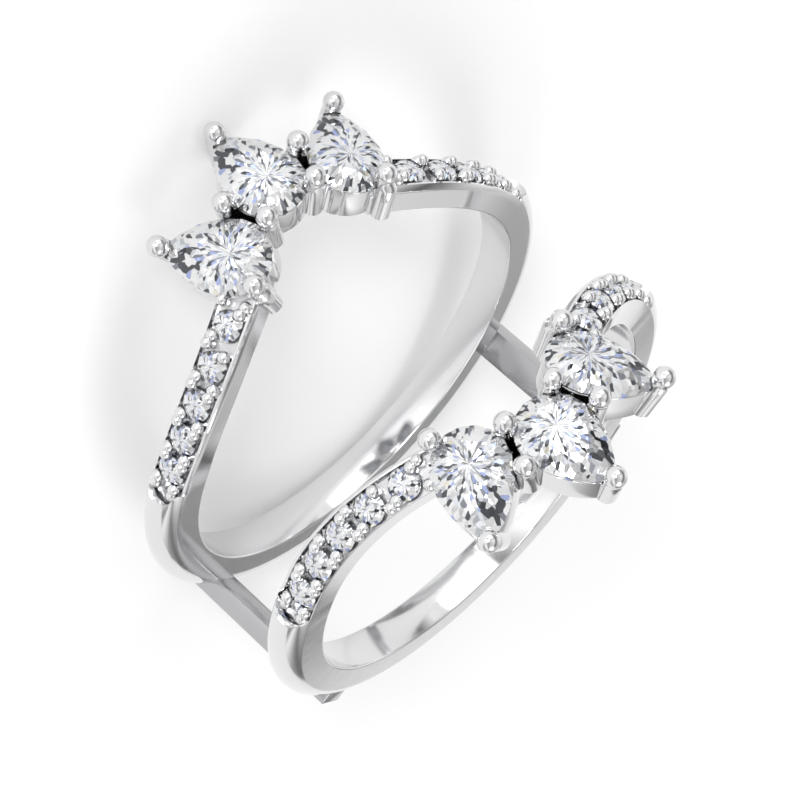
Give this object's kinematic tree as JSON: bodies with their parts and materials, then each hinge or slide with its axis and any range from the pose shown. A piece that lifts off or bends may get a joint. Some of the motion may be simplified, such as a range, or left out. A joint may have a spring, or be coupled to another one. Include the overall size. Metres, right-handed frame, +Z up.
{
  "type": "ring guard enhancer",
  "caption": "Ring guard enhancer with two curved pave bands joined by bridge bars and a fan of pear stones on each band.",
  "frame": {"origin": "centre of the footprint, on the surface that the ring lies on", "axes": "+Z up from the surface, +Y from the shank towards the crown, +X across the ring. The ring lies on its back band, so the finger hole is tilted 17.9 degrees from +Z"},
  "size_m": [0.021, 0.0244, 0.0202],
  "materials": {
    "white_gold": "polished white metal",
    "stone": "clear, colourless, flat polished facets"
  },
  "bodies": {
    "root": {"metal": "white_gold", "pear_front_left": "stone", "pear_front_middle": "stone", "pear_front_right": "stone", "pear_back_left": "stone", "pear_back_middle": "stone", "pear_back_right": "stone", "round_front_left_1": "stone", "round_front_left_2": "stone", "round_front_left_3": "stone", "round_front_left_4": "stone", "round_front_left_5": "stone", "round_front_right_1": "stone", "round_front_right_2": "stone", "round_front_right_3": "stone", "round_front_right_4": "stone", "round_front_right_5": "stone", "round_back_left_1": "stone", "round_back_left_2": "stone", "round_back_left_3": "stone", "round_back_left_4": "stone", "round_back_left_5": "stone", "round_back_right_1": "stone", "round_back_right_2": "stone", "round_back_right_3": "stone", "round_back_right_4": "stone", "round_back_right_5": "stone"}
  },
  "joints": []
}
